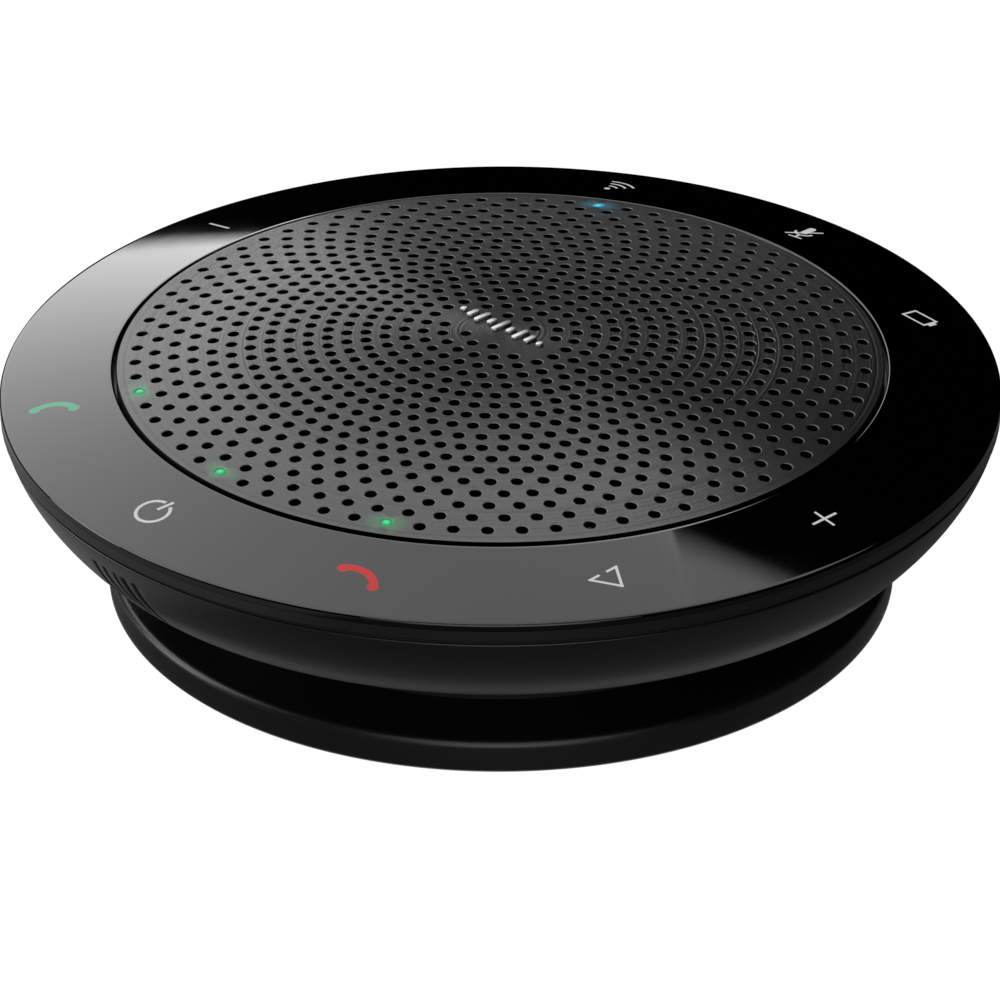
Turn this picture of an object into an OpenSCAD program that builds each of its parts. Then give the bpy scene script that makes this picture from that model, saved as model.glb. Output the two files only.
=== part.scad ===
// Conference speakerphone: a round puck. A domed, perforated grille sits inside a sloping
// gloss ring with nine pressed keys under it. A bowl-shaped lower housing stands on a
// narrower drum and base, which leave a groove for winding the cord.
// Millimetres, +Z up, origin at the centre of the face it rests on. The legends read
// upright when +Y points away from the reader.

/* [Overall] */
// Diameter over the control ring
body_d = 120; // [119:0.5:122]
// Height from the table to the top of the grille dome
body_h = 33; // [33:0.25:35]
// Thickness of the moulded housing walls
wall_t = 1.8; // [1.5:0.1:2]

/* [Grille] */
// Diameter of the grille
grille_d = 92.1; // [91.9:0.1:92.3]
// How far the dome rises above its own edge
grille_rise = 3.2; // [3:0.1:3.4]
// Thickness of the grille's sheet
grille_t = 0.8; // [0.6:0.1:0.9]
// Radial spacing of the hole rings
hole_pitch = 2.3; // [2.2:0.05:2.35]
// Diameter of a sound hole or an indicator hole
hole_d = 1.4; // [1.3:0.05:1.6]
// How far the badge's bars stand above the dome
badge_proud = 0.3; // [0.2:0.05:0.5]

/* [Control ring] */
// Width of the dark gap round the grille
ring_gap = 0.32; // [0.25:0.01:0.4]
// Slope of the ring's top face, in degrees
ring_slope = 9.2; // [8.8:0.1:9.4]
// Thickness of the ring's moulded skin
ring_t = 0.8; // [0.7:0.05:0.8]
// Height of the ring's outer edge
ring_edge_h = 0.75; // [0.7:0.05:0.9]

/* [Keys] */
// Radius at which the legends and switches lie
legend_r = 53.3; // [53:0.1:53.5]
// Stroke width of the legends
stroke = 0.4; // [0.36:0.01:0.45]
// Clearance round a legend in its window
window_gap = 0.1; // [0.08:0.01:0.12]
// Travel of a key
key_travel = 0.25; // [0.15:0.05:0.25]
// Angle that one key pad covers
key_sweep = 22; // [20:0.5:23]

/* [Lower housing] */
// Height of the bowl below the parting line
bowl_h = 9.9; // [9.7:0.1:10]
// Diameter of the bowl at its lower edge
bowl_foot_d = 107.6; // [107:0.1:108.4]
// How far the bowl's side bulges past a straight taper
bowl_bulge = 0.9; // [0.7:0.1:1]
// Number of slots in the sound vent
vent_count = 5; // [3:1:7]
// Width of a vent slot
vent_w = 0.45; // [0.4:0.05:0.6]

/* [Winding groove and base] */
// Diameter of the drum that the cord winds on
drum_d = 78; // [76:0.5:79]
// Diameter of the base
base_d = 96.4; // [95:0.2:98]
// Height of the base's top face
base_top = 5.2; // [5.1:0.05:5.3]
// Bore of the cord inlet
inlet_bore = 3.6; // [3.4:0.1:3.8]
// How far the rubber foot stands below the base
foot_proud = 1; // [0.9:0.05:1.1]

/* [Loudspeaker] */
// Diameter of the driver's flange
driver_d = 63; // [62.6:0.1:63.4]
// Travel of the cone each way
cone_travel = 1; // [0.5:0.1:1]

/* [Hidden] */
$fn = 96;

metal_gray = [0.42, 0.42, 0.43];
gloss_black = [0.03, 0.03, 0.03];
satin_black = [0.09, 0.09, 0.09];
board_green = [0.08, 0.3, 0.16];
legend_gray = [0.8, 0.8, 0.8];
steel = [0.7, 0.7, 0.72];
e = 0.01;

body_r = body_d / 2;
grille_r = grille_d / 2;
dome_r = (grille_r * grille_r + grille_rise * grille_rise) / (2 * grille_rise);
z_grille_edge = body_h - grille_rise;
function dome_z(r) = body_h - dome_r + sqrt(dome_r * dome_r - r * r);

ring_in = grille_r + ring_gap;
z_ring_in = z_grille_edge - 0.09;
z_rim = ring_top(body_r);
z_ring_foot = z_rim - ring_edge_h;
rim_round = 0.3;
function ring_top(r) = z_ring_in - (r - ring_in) * tan(ring_slope);
function ring_under(r) = ring_top(r) - ring_t;

// The housings meet on a thin seal below the band
z_band_foot = z_ring_foot - 1.6;
z_bowl_top = z_band_foot - 0.3;
z_bowl_foot = z_bowl_top - bowl_h;
bowl_top_r = body_r - 0.2;
z_floor = z_bowl_foot + wall_t;
function bowl_r(z) = let (u = (z_bowl_top - z) / bowl_h)
  bowl_top_r + (bowl_foot_d / 2 - bowl_top_r) * u + 4 * bowl_bulge * u * (1 - u);

z_deck = 24.6;
z_board = z_deck + 0.05;
board_t = 0.75;
pad_gap = 0.08;
pad_t = 0.7;
pad_in = 49.5;
pad_out = 56.7;
frame_in = 48;
frame_out = 56.1;
switch_r = 52.5;
switch_h = 1.1;

// Every key sits on a multiple of 30 degrees
plus_a = 0;
battery_a = 60;
mute_a = 90;
wireless_a = 120;
minus_a = 180;
answer_a = 240;
power_a = 270;
end_a = 300;
assist_a = 330;
key_angles = [plus_a, battery_a, mute_a, wireless_a, minus_a, answer_a, power_a, end_a, assist_a];

indicator_ring = 19;
indicator_count = 12;
sound_rings = [4, 8, 12, 16];
holes_per_ring = 24;

drum_r = drum_d / 2;
base_r = base_d / 2;
foot_recess_r = 44.6;
z_recess = 2.4;

// Base screws and driver screws stand on the same four angles
quarter_angles = [45, 135, 225, 315];
post_r = 34.2;
driver_screw_r = 30.1;
boss_r = 44;
boss_angles = [for (i = [0 : 5]) 30 + 60 * i];
board_post_r = 48;
board_post_angles = [60, 180, 300];
inlet_a = 150;
vent_a = 269.4;
z_inlet = (z_bowl_foot + base_top) / 2;

// ---- shared shapes ----

// A tube standing on z0
module tube(r_out, r_in, z0, z1) {
  translate([0, 0, z0]) difference() {
    cylinder(r = r_out, h = z1 - z0);
    translate([0, 0, -1]) cylinder(r = r_in, h = z1 - z0 + 2);
  }
}

// Places its children at a radius and an angle
module polar(r, a) {
  rotate([0, 0, a]) translate([r, 0, 0]) children();
}

// Places its children on the dome, square to it, with z = 0 on its outer face
module on_dome(r, a) {
  translate([0, 0, body_h - dome_r]) rotate([0, asin(r / dome_r), a])
    translate([0, 0, dome_r]) children();
}

// A spherical shell under the dome, from depth d0 to depth d1, out to radius r
module dome_shell(d0, d1, r) {
  intersection() {
    translate([0, 0, body_h - dome_r]) difference() {
      sphere(r = dome_r - d0, $fn = 200);
      sphere(r = dome_r - d1, $fn = 200);
    }
    translate([0, 0, body_h - grille_rise - 4]) cylinder(r = r, h = grille_rise + 8);
  }
}

// Places its children on the ring's sloping face, upright towards +Y, with z = 0 on it
module on_ring(a) {
  polar(legend_r, a) translate([0, 0, ring_top(legend_r)])
    rotate([0, ring_slope, 0]) rotate([0, 0, -a]) children();
}

// A sector of a body of revolution: sweep degrees wide, centred on angle a
module sector(a, sweep, points) {
  rotate([0, 0, a - sweep / 2]) rotate_extrude(angle = sweep) polygon(points);
}

// ---- legend outlines, w is the stroke and g how far the outline is grown ----

// A straight stroke between two points, square at its ends
module line(p, q, w, g = 0) {
  len = norm(q - p);
  translate((p + q) / 2) rotate(atan2(q[1] - p[1], q[0] - p[0]))
    square([len + w + 2 * g, w + 2 * g], center = true);
}

// A circular stroke of radius r round the origin, from angle a0 to a1
module arc(r, a0, a1, w, g = 0) {
  reach = 2 * r + 2;
  steps = 4;
  end_grow = g / r * 180 / PI;
  from = a0 - end_grow;
  sweep = a1 - a0 + 2 * end_grow;
  intersection() {
    difference() {
      circle(r = r + w / 2 + g, $fn = 48);
      circle(r = r - w / 2 - g, $fn = 48);
    }
    polygon(concat([[0, 0]],
      [for (i = [0 : steps]) reach * [cos(from + sweep * i / steps), sin(from + sweep * i / steps)]]));
  }
}

// A rectangle drawn as an outline
module frame(size, w, g = 0) {
  difference() {
    square(size + [w, w] + 2 * [g, g], center = true);
    square(size - [w, w] - 2 * [g, g], center = true);
  }
}

module plus_mark(g = 0) {
  translate([-0.3, 0]) {
    line([-1.35, 0], [1.35, 0], stroke, g);
    line([0, -1.75], [0, 1.75], stroke, g);
  }
}

module minus_mark(g = 0) {
  translate([0, 0.45]) line([-1.8, 0], [1.8, 0], stroke, g);
}

// The outline is broken by a bridge that holds the middle of its window
module battery_mark(g = 0) {
  bridge = 0.5;
  translate([0, -0.6]) {
    difference() {
      frame([3.4, 2.3], stroke, g);
      translate([-1.7, 0]) square([1, bridge - 2 * g], center = true);
    }
    line([2.05, -0.4], [2.05, 0.4], stroke + 0.1, g);
  }
}

// A microphone in its cradle, crossed out
module mute_mark(g = 0) {
  rotate(12) {
    line([0, 0.1], [0, 1.9], 1, g);
    translate([0, 0.1]) arc(1.15, 180, 360, stroke, g);
    line([0, -1.25], [0, -2.25], stroke, g);
    line([-0.8, -2.25], [0.8, -2.25], stroke, g);
    line([-1.6, -1.7], [1.6, 1.9], stroke, g);
  }
}

// Radio waves: a dot under three arcs
module wireless_mark(g = 0) {
  translate([-0.1, -1.9]) {
    circle(r = 0.4 + g, $fn = 24);
    arc(1.3, 55, 125, stroke, g);
    arc(2.4, 55, 125, stroke, g);
    arc(3.5, 55, 125, stroke, g);
  }
}

// A telephone handset seen from the side
module handset_mark(g = 0) {
  translate([0, -2.2]) arc(2.9, 36, 144, 0.95, g);
  for (s = [-1, 1]) translate([s * 2.35, -0.45]) rotate(s * -10)
    square([1.3 + 2 * g, 0.8 + 2 * g], center = true);
}

module answer_mark(g = 0) {
  translate([-1.25, 0.3]) rotate(40) handset_mark(g);
}

module power_mark(g = 0) {
  translate([-0.2, -0.1]) rotate(-14) {
    arc(1.9, 107, 433, stroke, g);
    line([0, 0.75], [0, 2.35], stroke, g);
  }
}

// An open triangle pointing right, with a gap in its upright side
module assist_mark(g = 0) {
  line([-1.2, 1.8], [1.6, 0], stroke, g);
  line([-1.4, -1.95], [1.6, 0], stroke, g);
  line([-1.2, 1.8], [-1.25, 0.55], stroke, g);
  line([-1.4, -1.95], [-1.35, -0.75], stroke, g);
}

// ---- top ----

module grille() {
  color(metal_gray) difference() {
    union() {
      dome_shell(0, grille_t, grille_r);
      tube(grille_r, grille_r - grille_t, z_grille_edge - 1.8, z_grille_edge - 0.4);
    }
    for (k = sound_rings) for (j = [0 : holes_per_ring - 1])
      on_dome(k * hole_pitch, (j + 0.5) * 360 / holes_per_ring)
        translate([0, 0, -3]) cylinder(d = hole_d, h = 4, $fn = 24);
    for (j = [0 : indicator_count - 1])
      on_dome(indicator_ring * hole_pitch, j * 360 / indicator_count)
        translate([0, 0, -3]) cylinder(d = hole_d, h = 4, $fn = 24);
  }
}

module grille_cloth() {
  color("black") dome_shell(grille_t + 0.05, grille_t + 0.35, 42.3);
}

// A row of bars, short at the ends and tall in the middle
badge_x = -0.65;
badge_y = 0.8;
bar_pitch = 1.65;
bar_w = 0.8;
bar_heights = [1, 1.9, 2.7, 1.5, 3.1, 1.5, 2.7, 1.9, 1];
module badge() {
  n = len(bar_heights);
  color("silver") for (i = [0 : n - 1]) {
    x = badge_x + (i - (n - 1) / 2) * bar_pitch;
    straight = bar_heights[i] - bar_w;
    translate([x, badge_y, dome_z(norm([x, badge_y])) + e])
      linear_extrude(height = badge_proud) {
        if (straight > 0) square([bar_w, straight], center = true);
        for (s = [-1, 1]) translate([0, s * straight / 2]) circle(d = bar_w, $fn = 32);
      }
  }
}

// A clear moulding: a thin ring with a pipe up into each indicator hole
module light_guide() {
  z0 = z_grille_edge - 1.4;
  z1 = dome_z(indicator_ring * hole_pitch) - 0.12;
  color([0.75, 0.8, 0.8]) union() {
    tube(44.8, 42.6, z0, z0 + 0.4);
    for (j = [0 : indicator_count - 1])
      polar(indicator_ring * hole_pitch, j * 360 / indicator_count)
        translate([0, 0, z0 + 0.1]) cylinder(d = hole_d - 0.3, h = z1 - z0 - 0.1, $fn = 24);
  }
}

z_led_board = z_deck + 2.3;
led_board_t = 0.7;
module led_board() {
  color(board_green) tube(45, 40.6, z_led_board, z_led_board + led_board_t);
}

module indicator_leds() {
  color("white") for (j = [0 : indicator_count - 1])
    polar(indicator_ring * hole_pitch - 0.2, j * 360 / indicator_count)
      translate([-0.4, -0.8, z_led_board + led_board_t]) cube([0.8, 1.6, 0.5]);
}

// ---- control ring and keys ----

module legend_windows() {
  depth = ring_t + 1;
  on_ring(plus_a) translate([0, 0, -depth]) linear_extrude(2 * depth) plus_mark(window_gap);
  on_ring(battery_a) translate([0, 0, -depth]) linear_extrude(2 * depth) battery_mark(window_gap);
  on_ring(mute_a) translate([0, 0, -depth]) linear_extrude(2 * depth) mute_mark(window_gap);
  on_ring(wireless_a) translate([0, 0, -depth]) linear_extrude(2 * depth) wireless_mark(window_gap);
  on_ring(minus_a) translate([0, 0, -depth]) linear_extrude(2 * depth) minus_mark(window_gap);
  on_ring(answer_a) translate([0, 0, -depth]) linear_extrude(2 * depth) answer_mark(window_gap);
  on_ring(power_a) translate([0, 0, -depth]) linear_extrude(2 * depth) power_mark(window_gap);
  on_ring(end_a) translate([0, 0, -depth]) linear_extrude(2 * depth) handset_mark(window_gap);
  on_ring(assist_a) translate([0, 0, -depth]) linear_extrude(2 * depth) assist_mark(window_gap);
}

module control_ring() {
  skirt = 0.8;
  chamfer = 0.15;
  inner_r = body_r - skirt;
  color(gloss_black) difference() {
    rotate_extrude() polygon([
      [ring_in, ring_under(ring_in)],
      [ring_in, z_ring_in - chamfer],
      [ring_in + chamfer, ring_top(ring_in + chamfer)],
      [body_r - rim_round, ring_top(body_r - rim_round)],
      [body_r - 0.1, z_rim - 0.1],
      [body_r, z_rim - rim_round],
      [body_r, z_ring_foot],
      [inner_r, z_ring_foot],
      [inner_r, ring_under(inner_r)]]);
    legend_windows();
  }
}

// Carries the key pads and holds the ring up between them
module key_frame() {
  color(satin_black) difference() {
    rotate_extrude() polygon([
      [frame_in, z_board + board_t + 0.05],
      [frame_out, z_board + board_t + 0.05],
      [frame_out, ring_under(frame_out) - 0.04],
      [frame_in, ring_under(frame_in) - 0.04]]);
    for (a = key_angles) sector(a, key_sweep + 1.2, [
      [pad_in - 0.4, z_deck], [frame_out + 1, z_deck],
      [frame_out + 1, body_h], [pad_in - 0.4, body_h]]);
  }
}

module key_board() {
  color(board_green) tube(frame_out, frame_in, z_board, z_board + board_t);
}

z_switch = z_board + board_t;
module switch_bodies() {
  side = 4.6;
  color([0.25, 0.25, 0.25]) for (a = key_angles) polar(switch_r, a) difference() {
    translate([-side / 2, -side / 2, z_switch]) cube([side, side, switch_h]);
    translate([0, 0, z_switch + 0.1]) cylinder(d = 2.6, h = switch_h, $fn = 32);
  }
}

// A sprung pad under the ring, with the stem that works its switch
module key_pad(a) {
  top = pad_gap;
  color(gloss_black) union() {
    sector(a, key_sweep, [
      [pad_in, ring_under(pad_in) - top],
      [pad_in, ring_under(pad_in) - top - pad_t],
      [pad_out, ring_under(pad_out) - top - pad_t],
      [pad_out, ring_under(pad_out) - top]]);
    polar(switch_r, a) translate([0, 0, z_switch + key_travel + 0.12])
      cylinder(d = 2, h = 1.6, $fn = 32);
  }
}

module key_plus() { key_pad(plus_a); }
module key_battery() { key_pad(battery_a); }
module key_mute() { key_pad(mute_a); }
module key_wireless() { key_pad(wireless_a); }
module key_minus() { key_pad(minus_a); }
module key_answer() { key_pad(answer_a); }
module key_power() { key_pad(power_a); }
module key_end() { key_pad(end_a); }
module key_assist() { key_pad(assist_a); }

// A lit legend: it stands on its key and fills its window in the ring
module legend(a) {
  depth = ring_t * cos(ring_slope) + pad_gap - 0.01;
  on_ring(a) translate([0, 0, -depth]) linear_extrude(depth) children();
}

module legend_plus() { color(legend_gray) legend(plus_a) plus_mark(); }
module legend_battery() { color(legend_gray) legend(battery_a) battery_mark(); }
module legend_mute() { color(legend_gray) legend(mute_a) mute_mark(); }
module legend_wireless() { color(legend_gray) legend(wireless_a) wireless_mark(); }
module legend_minus() { color(legend_gray) legend(minus_a) minus_mark(); }
module legend_answer() { color([0.2, 0.65, 0.5]) legend(answer_a) answer_mark(); }
module legend_power() { color(legend_gray) legend(power_a) power_mark(); }
module legend_end() { color([0.8, 0.2, 0.2]) legend(end_a) handset_mark(); }
module legend_assist() { color(legend_gray) legend(assist_a) assist_mark(); }

// ---- housings ----

z_boss = z_floor + 0.15;
module upper_housing() {
  spigot_r = 57.3;
  inner_r = 56.3;
  shelf_r = 57.2;
  z_shelf = z_board + board_t + 0.35;
  seat_in = 43.4;
  seat_mid = 45.15;
  stand_in = 46.5;
  stand_out = 47.6;
  driver_hole = 28.4;
  deck_t = 1.2;
  color(satin_black) difference() {
    union() {
      rotate_extrude() polygon([
        [driver_hole, z_deck - deck_t],
        [spigot_r, z_deck - deck_t],
        [spigot_r, z_band_foot],
        [body_r - 0.3, z_band_foot],
        [body_r, z_band_foot + 0.3],
        [body_r, z_ring_foot - 0.06],
        [body_r - 0.95, z_ring_foot - 0.06],
        [body_r - 0.95, ring_under(body_r - 0.95) - 0.06],
        [shelf_r, ring_under(shelf_r) - 0.06],
        [shelf_r, z_shelf],
        [inner_r, z_shelf],
        [inner_r, z_deck],
        [stand_out, z_deck],
        [stand_out, ring_under(stand_out) - 0.06],
        [stand_in, ring_under(stand_out) - 0.06],
        [stand_in, z_grille_edge - 1.85],
        [seat_mid, z_grille_edge - 1.85],
        [seat_mid, z_led_board - 0.05],
        [seat_in, z_led_board - 0.05],
        [seat_in, z_deck],
        [driver_hole, z_deck]]);
      for (a = boss_angles) polar(boss_r, a) translate([0, 0, z_boss])
        cylinder(d = 5.2, h = z_deck - 0.6 - z_boss, $fn = 32);
    }
    for (a = boss_angles) polar(boss_r, a) translate([0, 0, z_boss - 1])
      cylinder(d = 2.3, h = 7, $fn = 32);
    for (a = quarter_angles) polar(driver_screw_r, a) translate([0, 0, z_deck - 2])
      cylinder(d = 1.8, h = 3, $fn = 24);
  }
}

module housing_seal() {
  color("black") tube(body_r - 0.45, 57.5, z_bowl_top + 0.02, z_band_foot - 0.02);
}

// Half-profile of the bowl, moved in by t
function bowl_side(t, z0, steps = 12) = [for (i = [0 : steps])
  let (z = z_bowl_top + (z0 - z_bowl_top) * i / steps) [bowl_r(z) - t, z]];
vent_pitch = 1.76;
z_vent_top = z_bowl_top - 2.1;
z_vent_foot = z_bowl_foot + 0.7;
module lower_housing() {
  floor_in = 36;
  outer = bowl_side(0, z_bowl_foot);
  inner = bowl_side(wall_t, z_floor);
  n = len(inner);
  color(satin_black) difference() {
    union() {
      rotate_extrude() polygon(concat(
        outer,
        [[floor_in, z_bowl_foot], [floor_in, z_floor]],
        [for (i = [0 : n - 1]) inner[n - 1 - i]]));
      for (a = board_post_angles) polar(board_post_r, a) translate([0, 0, z_floor - 0.5])
        cylinder(d = 4.4, h = z_main_board - z_floor + 0.45, $fn = 32);
    }
    for (i = [0 : vent_count - 1]) polar(body_r - 9, vent_a)
      translate([0, (i - (vent_count - 1) / 2) * vent_pitch - vent_w / 2, z_vent_foot])
        cube([10, vent_w, z_vent_top - z_vent_foot]);
    for (a = boss_angles) polar(boss_r, a) {
      translate([0, 0, z_bowl_foot - 1]) cylinder(d = 2.8, h = 4, $fn = 32);
      translate([0, 0, z_bowl_foot - 1]) cylinder(d = 5, h = 2, $fn = 32);
    }
    for (a = board_post_angles) polar(board_post_r, a) translate([0, 0, z_floor - 0.4])
      cylinder(d = 1.6, h = 5, $fn = 24);
  }
}

// Woven dust mesh bonded behind the vent slots
module vent_mesh() {
  points = bowl_side(wall_t + 0.05, z_vent_foot + 1.2);
  back = bowl_side(wall_t + 0.35, z_vent_foot + 1.2);
  n = len(back);
  color([0.15, 0.15, 0.15]) intersection() {
    sector(vent_a, 12, concat(points, [for (i = [0 : n - 1]) back[n - 1 - i]]));
    translate([0, 0, z_vent_foot]) cylinder(r = body_r, h = z_deck - 1.6 - z_vent_foot);
  }
}

module winding_drum() {
  drum_t = 1.8;
  collar_out = 35.9;
  color("black") difference() {
    union() {
      tube(drum_r, drum_r - drum_t, base_top + 0.02, z_bowl_foot - 0.02);
      tube(drum_r - drum_t + e, collar_out - 1, z_bowl_foot - 1.5, z_bowl_foot - 0.02);
      tube(collar_out, collar_out - 1, z_bowl_foot - 0.5, z_floor);
      for (a = quarter_angles) polar(post_r, a) translate([0, 0, base_top + 0.02])
        cylinder(d = 6.4, h = 8.2, $fn = 32);
    }
    for (a = quarter_angles) polar(post_r, a) translate([0, 0, base_top - 1])
      cylinder(d = 2.4, h = 8, $fn = 32);
    polar(0, inlet_a) translate([drum_r - 5, 0, z_inlet]) rotate([0, 90, 0])
      cylinder(d = 6, h = 8);
  }
}

// The rubber bush that the cord comes out of
module cord_inlet() {
  color([0.12, 0.12, 0.12]) polar(0, inlet_a) translate([0, 0, z_inlet]) rotate([0, 90, 0])
    difference() {
      union() {
        translate([0, 0, drum_r - 3.4]) cylinder(d = 5.9, h = 3.6);
        translate([0, 0, drum_r + 0.1]) cylinder(d = 8, h = 0.9);
        translate([0, 0, drum_r - 3.4]) cylinder(d = 6.5, h = 1);
      }
      translate([0, 0, drum_r - 5]) cylinder(d = inlet_bore, h = 8);
    }
}

module base_disc() {
  z0 = foot_proud;
  top_round = 1;
  foot_round = 0.6;
  steps = 6;
  color(satin_black) difference() {
    rotate_extrude() polygon(concat(
      [[0, z_recess], [foot_recess_r, z_recess], [foot_recess_r, z0]],
      [for (i = [0 : steps]) let (t = -90 + 90 * i / steps)
        [base_r - foot_round + foot_round * cos(t), z0 + foot_round + foot_round * sin(t)]],
      [for (i = [0 : steps]) let (t = 90 * i / steps)
        [base_r - top_round + top_round * cos(t), base_top - top_round + top_round * sin(t)]],
      [[0, base_top]]));
    for (a = quarter_angles) polar(post_r, a) {
      translate([0, 0, z_recess - 1]) cylinder(d = 3, h = 6, $fn = 32);
      translate([0, 0, z_recess - 1]) cylinder(d = 5.6, h = 2.2, $fn = 32);
    }
  }
}

foot_in = 30.4;
module rubber_foot() {
  groove_w = 1.2;
  color([0.13, 0.13, 0.13]) difference() {
    tube(foot_recess_r - 0.2, foot_in, 0, z_recess - 0.03);
    tube(38 + groove_w / 2, 38 - groove_w / 2, -1, 0.4);
  }
}

module rating_plate() {
  color([0.3, 0.3, 0.31]) translate([0, 0, z_recess - 0.53]) cylinder(r = foot_in - 0.6, h = 0.5);
}

// A pan-head screw, head down, standing on z0
module screw(head_d, head_h, shank_d, shank_h) {
  difference() {
    union() {
      cylinder(d = head_d, h = head_h, $fn = 32);
      cylinder(d = shank_d, h = head_h + shank_h, $fn = 32);
    }
    for (a = [0, 90]) rotate([0, 0, a]) translate([-head_d * 0.3, -0.2, -1])
      cube([head_d * 0.6, 0.4, 1.5]);
  }
}

module base_screws() {
  color(steel) for (a = quarter_angles) polar(post_r, a)
    translate([0, 0, z_recess + 0.05]) screw(5, 1.15, 2.4, 7.5);
}

module housing_screws() {
  color(steel) for (a = boss_angles) polar(boss_r, a)
    translate([0, 0, z_bowl_foot + 0.05]) screw(4.4, 0.95, 2.3, 6.4);
}

// ---- loudspeaker driver ----

driver_r = driver_d / 2;
z_flange = z_deck;
flange_t = 0.8;
z_cone = z_flange + 0.75;
z_spider = 15.8;
z_plate = 10.7;
plate_t = 2;
module driver_basket() {
  flange_in = 26;
  foot_r = 17.2;
  sheet = 0.8;
  z_low = z_plate + plate_t;
  color([0.2, 0.2, 0.21]) difference() {
    union() {
      rotate_extrude() polygon([
        [8.7, z_low], [foot_r, z_low], [27.6, z_flange], [driver_r, z_flange],
        [driver_r, z_flange + flange_t], [flange_in, z_flange + flange_t],
        [foot_r - 0.6, z_low + sheet], [8.7, z_low + sheet]]);
      tube(17, 15.8, z_low + sheet - 0.1, z_spider - 0.75);
    }
    // Windows between the four arms
    for (i = [0 : 3]) sector(90 * i, 56, [
      [18.6, z_low + 1.8], [26, z_low + 1.8], [34, z_flange - 1.6], [18.6, z_flange - 1.6]]);
    for (a = quarter_angles) polar(driver_screw_r, a) translate([0, 0, z_flange - 1])
      cylinder(d = 1.9, h = 3, $fn = 24);
  }
}

module driver_gasket() {
  color([0.2, 0.2, 0.2]) tube(28.5, 26.1, z_flange + flange_t + 0.45, z_flange + flange_t + 1.2);
}

module driver_screws() {
  color(steel) for (a = quarter_angles) polar(driver_screw_r, a)
    translate([0, 0, z_flange + flange_t + 1]) mirror([0, 0, 1]) screw(2.7, 1, 1.7, 2.2);
}

// Half-roll surround with a flat lip on each side
module driver_surround() {
  roll_r = 24.4;
  roll = 1.75;
  z0 = z_flange + flange_t;
  color([0.1, 0.1, 0.1]) rotate_extrude() union() {
    translate([22, z0]) square([1.1, 0.4]);
    translate([25.7, z0]) square([2.8, 0.4]);
    intersection() {
      translate([roll_r, z0]) difference() {
        circle(r = roll, $fn = 48);
        circle(r = roll - 0.4, $fn = 48);
      }
      translate([roll_r - 3, z0]) square([6, 4]);
    }
  }
}

// Corrugated disc that centres the coil
module driver_spider() {
  r0 = 7.6;
  r1 = 16.4;
  steps = 28;
  function wave(r) = z_spider + 0.35 * cos(360 * 3.5 * (r - r0) / (r1 - r0)) - 0.7;
  function at(i) = r0 + (r1 - r0) * i / steps;
  color([0.75, 0.6, 0.3]) rotate_extrude() polygon(concat(
    [for (i = [0 : steps]) [at(i), wave(at(i)) + 0.7]],
    [for (i = [0 : steps]) [at(steps - i), wave(at(steps - i)) + 0.35]]));
}

module driver_magnet() {
  color([0.22, 0.22, 0.23]) tube(16.8, 9.6, z_plate - 2.4, z_plate);
}

module driver_top_plate() {
  color(steel) tube(16.2, 8.1, z_plate, z_plate + plate_t);
}

module driver_yoke() {
  z0 = z_plate - 4.2;
  color(steel) union() {
    translate([0, 0, z0]) cylinder(r = 16, h = 1.8);
    translate([0, 0, z0]) cylinder(r = 6.6, h = 4.2 + plate_t + 0.2);
  }
}

module driver_terminals() {
  color([0.75, 0.6, 0.2]) polar(0, 45) union() {
    translate([22.2, -4, 17]) cube([3.4, 8, 1]);
    for (s = [-1, 1]) translate([24.9, s * 2.2 - 0.6, 15.2]) cube([0.5, 1.2, 2]);
  }
}

module driver_cone() {
  color([0.08, 0.08, 0.08]) rotate_extrude() polygon([
    [22.7, z_cone], [21.4, z_cone], [7.65, z_cone - 6.35], [7.65, z_cone - 6.95],
    [21.6, z_cone - 0.5], [22.7, z_cone - 0.5]]);
}

module dust_cap() {
  cap_r = 12;
  rim_r = 9;
  z_rim_cap = z_cone - 6.35 + (rim_r - 7.65) * 6.35 / 13.75 + 0.05;
  z_mid = z_rim_cap - sqrt(cap_r * cap_r - rim_r * rim_r);
  color([0.07, 0.07, 0.07]) intersection() {
    translate([0, 0, z_mid]) difference() {
      sphere(r = cap_r);
      sphere(r = cap_r - 0.4);
    }
    translate([0, 0, z_rim_cap]) cylinder(r = 10, h = 8);
  }
}

module voice_coil() {
  color([0.7, 0.4, 0.2]) union() {
    tube(7.35, 7.05, z_plate - 1, z_cone - 6.4);
    tube(7.6, 7.05, z_plate - 0.9, z_plate + plate_t + 1.6);
    tube(7.62, 7.05, z_cone - 7.1, z_cone - 6.4);
  }
}

// ---- electronics ----

z_main_board = z_floor + 1.45;
main_board_t = 1;
module main_board() {
  color(board_green) difference() {
    sector(180, 288, [
      [33, z_main_board], [51.4, z_main_board],
      [51.4, z_main_board + main_board_t], [33, z_main_board + main_board_t]]);
    for (a = boss_angles) polar(boss_r, a) translate([0, 0, z_main_board - 1])
      cylinder(d = 6, h = 3, $fn = 32);
    for (a = board_post_angles) polar(board_post_r, a) translate([0, 0, z_main_board - 1])
      cylinder(d = 2.2, h = 3, $fn = 24);
  }
}

// Each chip is [angle, radius, width, length, height]
chips = [[120, 41, 9, 9, 1], [138, 42, 5, 6, 0.9], [75, 38, 4, 5, 1.1], [225, 44, 6, 5, 1],
  [243, 40, 3, 3, 0.8], [285, 41, 7, 7, 1], [252, 48, 3, 4, 1.6], [105, 48, 3, 3, 1.6]];
module board_chips() {
  color([0.1, 0.1, 0.11]) for (c = chips) polar(c[1], c[0])
    translate([-c[2] / 2, -c[3] / 2, z_main_board + main_board_t]) cube([c[2], c[3], c[4]]);
}

module shield_can() {
  color(steel) polar(40, 180) translate([-5, -8, z_main_board + main_board_t]) difference() {
    cube([10, 16, 2]);
    translate([0.25, 0.25, -1]) cube([9.5, 15.5, 2.75]);
  }
}

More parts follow.
